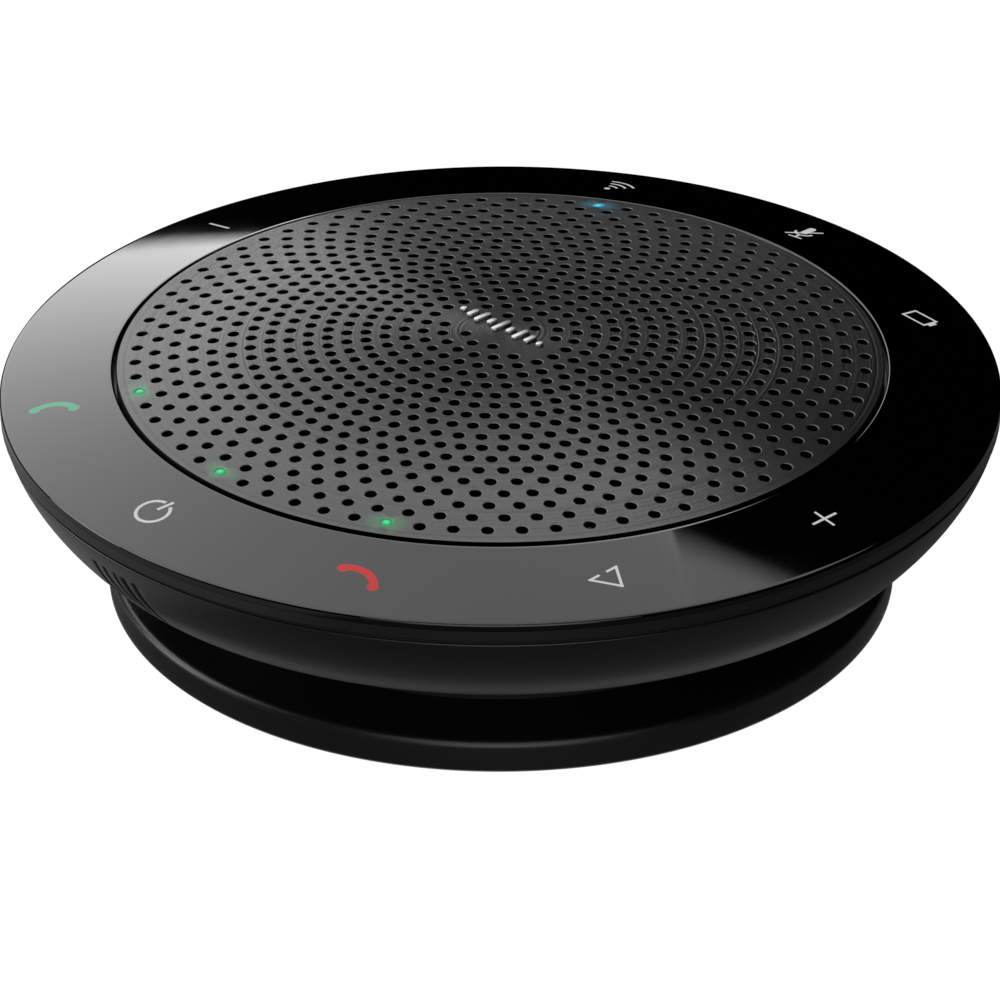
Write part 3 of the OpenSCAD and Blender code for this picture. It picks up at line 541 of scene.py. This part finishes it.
def makeIndicators():
    clear = finishes["light_guide"]
    glowing = {hue: lensPlastic(hue + " light pipe", *indicators[hue]) for hue in ("cyan", "green")}
    radius = grillePattern["lastRing"] * grillePattern["ringSpacing"]
    rings, sides = indicators["rings"], indicators["sides"]
    for i in range(indicators["count"]):
        angle = round(i * 360 / indicators["count"])
        x, y = polarPoint(radius, angle)
        normal = domeNormal((x, y))
        hue = indicators["lit"].get(angle)
        recess = indicators["litRecess" if hue else "recess"]
        top = Vector((x, y, domeHeight((x, y)))) - normal * recess
        sideways = normal.cross(Vector((0, 1, 0))).normalized()
        across = normal.cross(sideways)
        points, faces = [top], []
        for k in range(1, rings + 1):
            share = k / rings
            level = top - normal * indicators["crown"] * share ** 2
            for s in range(sides):
                turn = 2 * math.pi * s / sides
                spoke = sideways * math.cos(turn) + across * math.sin(turn)
                points.append(level + spoke * indicators["lensRadius"] * share)
        points += [p - normal * indicators["depth"] for p in points[-sides:]]
        for s in range(sides):
            after = (s + 1) % sides
            faces.append((0, 1 + s, 1 + after))
            for k in range(rings):
                a, b = 1 + k * sides, 1 + (k + 1) * sides
                faces.append((a + s, b + s, b + after, a + after))
        faces.append(tuple(1 + rings * sides + s for s in reversed(range(sides))))
        lens = addMesh(f"indicator_lens_{angle:03d}", points, faces, glowing[hue] if hue else clear)
        shares = [1] + [1 - k / rings for k in range(1, rings + 1) for _ in range(sides)] + [0] * sides
        lens.data.attributes.new("middle", "FLOAT", "POINT").data.foreach_set("value", shares)
        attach(lens, "root")
    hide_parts("light_guide")


makeGrille()
makeIndicators()


badge = {  # a row of plain bars, standing a little proud of the dome
    "centre": (-0.65, 0.8), "spacing": 1.65, "barWidth": 0.8, "proud": 0.3, "sunk": 0.1, "endSteps": 8,
    "bevel": 0.1, "bevelBelly": 0.3,  # how round the bevel is: 0 is sharp and 1 is a flat chamfer
    "heights": [1, 1.9, 2.7, 1.5, 3.1, 1.5, 2.7, 1.9, 1],
}


def makeBadge():
    half, bevel, proud = badge["barWidth"] / 2, badge["bevel"], badge["proud"]
    belly = bevel * badge["bevelBelly"]
    profile = ((0, -badge["sunk"]), (0, proud - bevel), (belly, proud - belly), (bevel, proud))
    points, faces = [], []
    count = len(badge["heights"])
    for i, height in enumerate(badge["heights"]):
        x = badge["centre"][0] + (i - (count - 1) / 2) * badge["spacing"]
        y = badge["centre"][1]
        foot = domeHeight((x, y))
        reach = max(height / 2 - half, 0)
        joinSections(points, faces, [
            [(*p, foot + rise) for p in stadium(x, y - reach, y + reach, half - inset, badge["endSteps"])]
            for inset, rise in profile])
    made = addMesh("badge_bars", points, faces, finishes["badge_metal"], 50)
    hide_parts("badge")
    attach(made, "root")
    print("badge:", count, "bars")


makeBadge()


# the legends are flat shapes round their own centres, upright to +Y
legendStroke = 0.33


def bar(start, end, width=legendStroke):  # square ends, half a width past each point
    a, b = Vector(start), Vector(end)
    along = (b - a).normalized() * width / 2
    aside = Vector((-along.y, along.x))
    return [a - along - aside, b + along - aside, b + along + aside, a - along + aside]


def bow(centre, radius, fromAngle, toAngle, width=legendStroke, steps=20):
    angles = [fromAngle + (toAngle - fromAngle) * k / steps for k in range(steps + 1)]
    outer = [polarPoint(radius + width / 2, a) for a in angles]
    inner = [polarPoint(radius - width / 2, a) for a in reversed(angles)]
    return [Vector(centre) + Vector(p) for p in outer + inner]


def disc(centre, radius):
    return [Vector(p) for p in circlePoints(centre, radius, 24)]


def moved(shapes, offset, degrees=0.0):
    turn = Matrix.Rotation(math.radians(degrees), 2)
    return [[turn @ p + Vector(offset) for p in shape] for shape in shapes]


def handset():  # a bent grip with a round cup at each end
    return [bow((0, -2.27), 3.37, 43, 137, 1.0), disc((-2.42, -0.06), 0.68), disc((2.42, -0.06), 0.68)]


legends = {  # by name: the angle round the ring, the material slot and the shapes
    "plus": (0, "legend_white", moved([bar((-1.35, 0), (1.35, 0)), bar((0, -1.75), (0, 1.75))], (-0.3, 0))),
    "battery": (60, "legend_white", moved([
        bar((-1.7, -1.15), (1.7, -1.15)), bar((-1.7, 1.15), (1.7, 1.15)), bar((-1.7, -1.15), (-1.7, 1.15)),
        bar((1.7, -1.15), (1.7, 1.15)), bar((2.05, -0.4), (2.05, 0.4), 0.5)], (0, -0.6))),
    "mute": (90, "legend_white", moved([
        bar((0, 0.6), (0, 1.6), 1.0), disc((0, 0.1), 0.5), disc((0, 2.1), 0.5),
        bow((0, 0.1), 1.15, 180, 360), bar((0, -1.25), (0, -2.25)), bar((-0.8, -2.25), (0.8, -2.25)),
        bar((-1.6, -1.7), (1.6, 1.9))], (0, 0), 12)),
    "wireless": (120, "legend_white", moved([
        disc((0, 0), 0.4), bow((0, 0), 1.3, 55, 125), bow((0, 0), 2.4, 55, 125), bow((0, 0), 3.5, 55, 125)],
        (-0.1, -1.9))),
    "minus": (180, "legend_white", [bar((-1.8, 0.45), (1.8, 0.45))]),
    "answer": (240, "legend_green", moved(handset(), (-1.04, 0.05), 39)),
    "power": (270, "legend_white", moved([bow((0, 0), 1.98, 107, 433, 0.42), bar((0, 0.75), (0, 2.4), 0.42)],
                                         (-0.2, -0.1), -14)),
    "end": (300, "legend_red", moved(handset(), (0.11, -0.25))),
    "assist": (330, "legend_white", [
        bar((-1.2, 1.8), (1.6, 0)), bar((-1.4, -1.95), (1.6, 0)), bar((-1.2, 1.8), (-1.25, 0.55)),
        bar((-1.4, -1.95), (-1.35, -0.75))]),
}


# the ring is one gloss skin, open at each key, and each key's skin and legend hang from a body of their own
keyZone = {"legendRadius": 53.3, "inner": 49.5, "outer": 56.7, "sweep": 22, "supportSpacing": 0.9}
ringStep = 0.5  # degrees between the skin's facets


def makeRing():
    skin, bevel, rimRound = ringShape["skin"], ringShape["innerBevel"], ringShape["rimRound"]
    inner, wall = grilleRadius + ringShape["gap"], bodyRadius - skin

    def onTop(radius, fillet=0):
        return (radius, ringHeight(radius), fillet)

    def below(radius):
        return (radius, ringHeight(radius) - skin, 0)

    # a plain point beside each fillet keeps the gloss flat between them
    corners = [
        below(inner), onTop(inner, bevel), onTop(inner + 2 * bevel), onTop(keyZone["inner"]),
        onTop(keyZone["outer"]), onTop(bodyRadius - 2 * rimRound), onTop(bodyRadius, rimRound),
        (bodyRadius, ringLow.z, 0), (wall, ringLow.z, 0), below(wall), below(keyZone["outer"]),
        below(keyZone["inner"])]
    outline = list(reversed(rounded(corners)))
    count = len(outline)
    radii = [round(p.x, 4) for p in outline]
    steps = round(360 / ringStep)
    points = []
    for i in range(steps):
        x, y = polarPoint(1, i * ringStep)
        points += [(r * x, r * y, z) for r, z in outline]

    # the steps that lie in a key's zone, and the two stretches of outline that are left out there
    half = round(keyZone["sweep"] / 2 / ringStep)
    opened = set()
    for angle, _, _ in legends.values():
        middle = round(angle / ringStep)
        opened.update(i % steps for i in range(middle - half, middle + half))
    ends = {keyZone["inner"], keyZone["outer"]}
    spans = [j for j in range(count) if {radii[j], radii[(j + 1) % count]} == ends]
    faces = []
    for i in range(steps):
        a, b = i * count, (i + 1) % steps * count
        for j in range(count):
            if not (i in opened and j in spans):
                faces.append((a + j, b + j, b + (j + 1) % count, a + (j + 1) % count))

    # walls round each opening, so that a pressed key shows an edge
    upper, lower = sorted(spans, key=lambda j: outline[j].y, reverse=True)
    (outerTop, innerTop), (outerLow, innerLow) = (
        sorted((j, (j + 1) % count), key=lambda k: radii[k], reverse=True) for j in (upper, lower))
    for i in sorted(opened):
        a, b = i * count, (i + 1) % steps * count
        faces.append((a + innerTop, b + innerTop, b + innerLow, a + innerLow))
        faces.append((b + outerTop, a + outerTop, a + outerLow, b + outerLow))
        if (i - 1) % steps not in opened:
            faces.append((a + outerTop, a + innerTop, a + innerLow, a + outerLow))
        if (i + 1) % steps not in opened:
            faces.append((b + innerTop, b + outerTop, b + outerLow, b + innerLow))
    ring = addMesh("ring_skin", points, faces, finishes["gloss_ring"], 30)
    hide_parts("control_ring")
    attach(ring, "root")
    print("ring skin:", len(faces), "faces")


def makeKey(name):
    angle, slot, shapes = legends[name]
    middle = Vector(polarPoint(keyZone["legendRadius"], angle))
    half = keyZone["sweep"] / 2
    steps = round(keyZone["sweep"] / ringStep)
    arc = [angle - half + ringStep * k for k in range(steps + 1)]
    border = [polarPoint(keyZone["outer"], a) for a in arc]
    border += [polarPoint(keyZone["inner"], a) for a in reversed(arc)]
    rows = round((keyZone["outer"] - keyZone["inner"]) / keyZone["supportSpacing"])
    fill = [polarPoint(keyZone["inner"] + keyZone["supportSpacing"] * k, a)
            for k in range(1, rows) for a in arc[2:-2:3]]
    outlines = [border] + [[p + middle for p in shape] for shape in shapes]
    places, triangles, _, inside = triangulate(outlines, fill)
    skin = [t for t, within in zip(triangles, inside) if within == [0]]
    mark = [t for t, within in zip(triangles, inside) if 0 in within and len(within) > 1]

    def topAt(v):
        return ringHeight(places[v].length)

    def bottomAt(v):
        return ringHeight(places[v].length) - ringShape["skin"]

    body = "key_" + name
    made = sheetSolid("key_skin_" + name, places, skin, topAt, bottomAt, ringNormal, finishes["gloss_ring"])
    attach(made, body)
    legend = sheetSolid("legend_mark_" + name, places, mark, topAt, bottomAt, ringNormal, finishes[slot])
    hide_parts("legend_" + name)
    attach(legend, body)


makeRing()
for legendName in legends:
    makeKey(legendName)
print("keys and legends:", len(legends))


bowlLow, bowlHigh = boxOf("lower_housing")
bowl = {  # the lower housing, with its sound vent
    "wall": 1.8, "bulge": 0.9, "footRadius": 53.8, "floorInner": 36.0, "lipRound": 0.15, "footRound": 0.25,
    "steps": 26,
    "ventAngle": 269.4, "ventCount": 5, "ventSpacing": 1.76, "ventWidth": 0.55, "ventTop": 2.1, "ventFoot": 0.7,
    "ventEndSteps": 12, "pegReach": (11, 2),  # how far the cutting pegs go inside and outside the rim's radius
}


def bowlRadius(z):
    share = (bowlHigh.z - z) / (bowlHigh.z - bowlLow.z)
    return bowlHigh.x + (bowl["footRadius"] - bowlHigh.x) * share + 4 * bowl["bulge"] * share * (1 - share)


def makeBowl():
    steps = bowl["steps"]
    heights = [bowlLow.z + (bowlHigh.z - bowlLow.z) * k / steps for k in range(steps + 1)]
    floor = bowlLow.z + bowl["wall"]
    corners = [(bowl["floorInner"], bowlLow.z, 0), (bowl["footRadius"], bowlLow.z, bowl["footRound"])]
    corners += [(bowlRadius(z), z, 0) for z in heights[1:-1]] + [(bowlHigh.x, bowlHigh.z, bowl["lipRound"])]
    corners += [(bowlRadius(z) - bowl["wall"], z, 0) for z in reversed(heights) if z > floor + 0.2]
    corners += [(bowlRadius(floor) - bowl["wall"], floor, 0), (bowl["floorInner"], floor, 0)]
    made = lathe("bowl", rounded(corners, 4), finishes["satin_case"], 30)

    # upright slots, cut with round-ended pegs
    points, faces = [], []
    half = bowl["ventWidth"] / 2
    low, high = bowlLow.z + bowl["ventFoot"] + half, bowlHigh.z - bowl["ventTop"] - half
    turn = Matrix.Rotation(math.radians(bowl["ventAngle"]), 3, "Z")
    inward, outward = bowl["pegReach"]
    for i in range(bowl["ventCount"]):
        aside = (i - (bowl["ventCount"] - 1) / 2) * bowl["ventSpacing"]
        joinSections(points, faces, [
            [turn @ Vector((depth, y, z)) for y, z in stadium(aside, low, high, half, bowl["ventEndSteps"])]
            for depth in (bodyRadius - inward, bodyRadius + outward)])
    pegs = addMesh("vent_pegs", points, faces, finishes["satin_case"])
    cut = made.modifiers.new("vents", "BOOLEAN")
    cut.object = pegs
    cut.solver = "EXACT"
    bpy.context.view_layer.update()
    made.data = bpy.data.meshes.new_from_object(made.evaluated_get(bpy.context.evaluated_depsgraph_get()))
    made.modifiers.clear()
    bpy.data.objects.remove(pegs)
    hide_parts("lower_housing")
    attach(made, "root")
    print("bowl:", len(made.data.polygons), "faces")


makeBowl()


base = {"topRound": 1.0, "footRound": 0.6, "recessRadius": 44.6, "recess": 1.4, "recessRound": 0.2}
baseLow, baseHigh = boxOf("base_disc")


def makeBase():
    ceiling = baseLow.z + base["recess"]
    nearAxis = 0.01  # leaves a pinhole, so that no two points of the turned mesh meet
    corners = [
        (nearAxis, ceiling, 0), (base["recessRadius"], ceiling, 0),
        (base["recessRadius"], baseLow.z, base["recessRound"]), (baseHigh.x, baseLow.z, base["footRound"]),
        (baseHigh.x, baseHigh.z, base["topRound"]), (nearAxis, baseHigh.z, 0)]
    made = lathe("base_plate", rounded(corners, 10), finishes["satin_case"], 50)
    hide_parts("base_disc")
    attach(made, "root")


makeBase()
print("base made")


# the CAD nodes that stay get their finishes
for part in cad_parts.values():
    for materialSlot in part.material_slots:
        materialSlot.material = finishes[materialSlot.material.name.split(".")[0]]
print("finishes put on the CAD nodes")


camera = {
    "azimuth": 46.917, "elevation": 28.898, "roll": -0.215,
    "distance": 458.9, "aim": (26.857, -25.27, 30.16), "lens": 147.31, "sensor": 36,
    "clip": (20, 40000),
}


def makeCamera():
    azimuth, elevation, roll = (math.radians(camera[k]) for k in ("azimuth", "elevation", "roll"))
    back = Vector((math.sin(azimuth) * math.cos(elevation), -math.cos(azimuth) * math.cos(elevation),
                   math.sin(elevation)))
    right = Vector((math.cos(azimuth), math.sin(azimuth), 0))
    up = back.cross(right)
    rolledRight = right * math.cos(roll) + up * math.sin(roll)
    rolledUp = up * math.cos(roll) - right * math.sin(roll)
    lens = bpy.data.cameras.new("camera")
    lens.lens, lens.sensor_width = camera["lens"], camera["sensor"]
    lens.clip_start, lens.clip_end = (limit * mm for limit in camera["clip"])
    made = bpy.data.objects.new("camera", lens)
    made.matrix_world = Matrix.Translation((Vector(camera["aim"]) + back * camera["distance"]) * mm) @ \
        Matrix((rolledRight, rolledUp, back)).transposed().to_4x4()
    bpy.context.scene.collection.objects.link(made)
    bpy.context.scene.camera = made


makeCamera()


def glowMaterial(name, colour, strength):  # a bare lamp or lit paper
    material = bpy.data.materials.new(name)
    material.use_nodes = True
    tree = material.node_tree
    tree.nodes.clear()
    glow = addNode(tree, "ShaderNodeEmission", {"Color": hexColour(colour), "Strength": strength})
    output = addNode(tree, "ShaderNodeOutputMaterial", None, {"Surface": glow.outputs["Emission"]})
    return material, tree, glow, output


def stageOnly(made, seenBy):  # a stage piece, shown only to the kinds of ray that are named
    for kind in ("camera", "diffuse", "glossy", "transmission", "volume_scatter", "shadow"):
        setattr(made, "visible_" + kind, kind in seenBy)


stage = {
    "paper": "FFFFFF", "paperGlow": 1.02, "floorHalf": 4000, "wallRadius": 3900, "sides": 64,
    "drop": 0.01,  # the floor lies this far under the feet, and the card that lights the sides once more
    "sideGlow": 0.085, "sideGlowLeft": 0.34,  # what the sides see of the floor, ahead and to the left
    "brighterFrom": 46, "brighterTo": 62,  # the change between the two, from the middle to the left
    "cardRadius": 1500, "cardHole": 0.81,  # the hole is a share of the body's radius, hidden by the base
    "underGlow": 1.2, "underRadius": 900, "underDepth": 400,
}


def makeStage():
    sides = stage["sides"]
    paper, tree, glow, output = glowMaterial("white seamless paper", stage["paper"], stage["paperGlow"])
    # the paper is clear from below, so that the underside can be looked at
    facing = addNode(tree, "ShaderNodeNewGeometry")
    clear = addNode(tree, "ShaderNodeBsdfTransparent")
    oneSided = addNode(tree, "ShaderNodeMixShader", None, {
        0: facing.outputs["Backfacing"], 1: glow.outputs["Emission"], 2: clear.outputs["BSDF"]})
    tree.links.new(oneSided.outputs["Shader"], output.inputs["Surface"])
    far = stage["floorHalf"]
    corners = ((-far, -far), (far, -far), (far, far), (-far, far))
    floor = addMesh("floor", [(*p, -stage["drop"]) for p in corners], [(0, 1, 2, 3)], paper)
    stageOnly(floor, ("camera",))

    bounce, tree, glow, _ = glowMaterial("floor seen in the gloss", "FFFFFF", 1)
    place = addNode(tree, "ShaderNodeNewGeometry")
    leftward = (*polarPoint(-1, camera["azimuth"]), 0)
    aside = addNode(tree, "ShaderNodeVectorMath", {"operation": "DOT_PRODUCT", 1: leftward},
                    {0: place.outputs["Position"]})
    level = addNode(tree, "ShaderNodeMapRange", {
        "interpolation_type": "SMOOTHSTEP",
        "From Min": stage["brighterFrom"] * mm, "From Max": stage["brighterTo"] * mm,
        "To Min": stage["sideGlow"], "To Max": stage["sideGlowLeft"]}, {"Value": aside.outputs["Value"]})
    tree.links.new(level.outputs["Result"], glow.inputs["Strength"])
    # it is open under the base, where a second card further down lights the underside
    hole = circlePoints((0, 0), bodyRadius * stage["cardHole"], sides)
    rim = circlePoints((0, 0), stage["cardRadius"], sides)
    card = addMesh("floor_bounce", [(*p, -2 * stage["drop"]) for p in hole + rim],
                   [(k, sides + k, sides + (k + 1) % sides, (k + 1) % sides) for k in range(sides)], bounce)
    stageOnly(card, ("diffuse", "glossy"))
    under = glowMaterial("underside light", "FFFFFF", stage["underGlow"])[0]
    lowCard = addMesh("under_bounce", [
        (*p, -stage["underDepth"]) for p in circlePoints((0, 0), stage["underRadius"], sides)],
        [tuple(range(sides))], under)
    stageOnly(lowCard, ("diffuse", "glossy"))

    backdropPaper = glowMaterial("white backdrop", stage["paper"], stage["paperGlow"])[0]
    wall = circlePoints((0, 0), stage["wallRadius"], sides)
    points, faces = [], []
    joinSections(points, faces, [[(*p, z) for p in wall] for z in (-stage["wallRadius"], stage["wallRadius"])])
    backdrop = addMesh("backdrop", points, faces, backdropPaper)
    stageOnly(backdrop, ("camera",))


softbox = {  # a big one behind and to the left of the device; bearings are from straight behind
    "distance": 20000,  # far off, so that its edges lie the same all over the device
    "left": 95, "right": 20, "top": 80, "feather": 0.8,
    # the lower edge's height by bearing; a flag cuts its near corner away
    "edge": [(-95, 23), (-30, 23), (-7, 10), (-5.5, 10.5), (-1.5, 28), (9.3, 35), (9.8, 45.3), (20, 41.5)],
    "glow": 1.56,
    "lowGlow": 2.2, "lowest": 11, "lowGlowFalls": 15,  # more glow low down, falling off within so many degrees
    "fade": 0.009, "fadeFrom": -10,  # how much weaker it gets for each degree to the right
    "hotSpot": {"bearing": 5, "height": 37, "spread": 4.5, "glow": 3.0},  # the brightest place, on its right
    "columns": 230, "rows": 60, "crowding": 1.5,  # its rows crowd towards the lower edge
}


def between(stops, x):  # a value read off a list of (x, value)
    for (x0, y0), (x1, y1) in zip(stops, stops[1:]):
        if x <= x1:
            return y0 + (y1 - y0) * max(0, x - x0) / (x1 - x0)
    return stops[-1][1]


def makeSoftbox():
    # part of a sphere round the device; its glow is stored at its points
    columns, rows, feather, hot = (softbox[k] for k in ("columns", "rows", "feather", "hotSpot"))
    straightBehind = 90 + camera["azimuth"]
    points, faces, levels = [], [], []
    for i in range(columns + 1):
        bearing = -softbox["left"] + (softbox["left"] + softbox["right"]) * i / columns
        low = between(softbox["edge"], bearing)
        fade = 1 - softbox["fade"] * (bearing - softbox["fadeFrom"])
        for j in range(rows + 1):
            if j < 2:  # the feathered edge, from nothing to full glow
                height = low + feather * j
            else:
                share = ((j - 1) / (rows - 1)) ** softbox["crowding"]
                height = low + feather + (softbox["top"] - low - feather) * share
            flat = polarPoint(math.cos(math.radians(height)), straightBehind - bearing)
            points.append(Vector((*flat, math.sin(math.radians(height)))) * softbox["distance"])
            lowGlow = softbox["lowGlow"] * math.exp((softbox["lowest"] - height) / softbox["lowGlowFalls"])
            offHot = math.hypot(bearing - hot["bearing"], height - hot["height"]) / hot["spread"]
            level = (softbox["glow"] + lowGlow) * fade + hot["glow"] * math.exp(-offHot ** 2 / 2)
            levels.append(level if j else 0)
    for i in range(columns):
        for j in range(rows):
            a, b = i * (rows + 1) + j, (i + 1) * (rows + 1) + j
            faces.append((a, b, b + 1, a + 1))
    material, tree, glow, _ = glowMaterial("softbox cloth", "FFFFFF", 1)
    level = addNode(tree, "ShaderNodeAttribute", {"attribute_name": "glow"})
    tree.links.new(level.outputs["Fac"], glow.inputs["Strength"])
    cloth = addMesh("softbox", points, faces, material)
    cloth.data.attributes.new("glow", "FLOAT", "POINT").data.foreach_set("value", levels)
    stageOnly(cloth, ("diffuse", "glossy"))


lamps = {  # by name: bearing from the camera's own side, elevation, distance, size and watts
    "front": (0, 38, 1000, 950, 3.0),
    "frontLow": (0, 4, 1000, 720, 1.9),
    "leftLow": (-98, 10, 1000, 420, 2.0),
    "overhead": (0, 89, 1500, 1300, 1.2),
}


def makeLamps():
    for name, (bearing, elevation, distance, size, watts) in lamps.items():
        lamp = bpy.data.lights.new(name, "AREA")
        lamp.shape, lamp.size, lamp.energy = "DISK", size * mm, watts
        made = bpy.data.objects.new(name, lamp)
        flat = polarPoint(math.cos(math.radians(elevation)), camera["azimuth"] - 90 + bearing)
        direction = Vector((*flat, math.sin(math.radians(elevation))))
        made.location = direction * distance * mm
        made.rotation_euler = direction.to_track_quat("Z", "Y").to_euler()
        bpy.context.scene.collection.objects.link(made)
    world = bpy.data.worlds.new("studio")
    world.use_nodes = True
    world.node_tree.nodes["Background"].inputs["Color"].default_value = (0, 0, 0, 1)
    bpy.context.scene.world = world
    bpy.context.scene.view_settings.view_transform = "Standard"


makeStage()
makeSoftbox()
makeLamps()
print("stage and lights made")
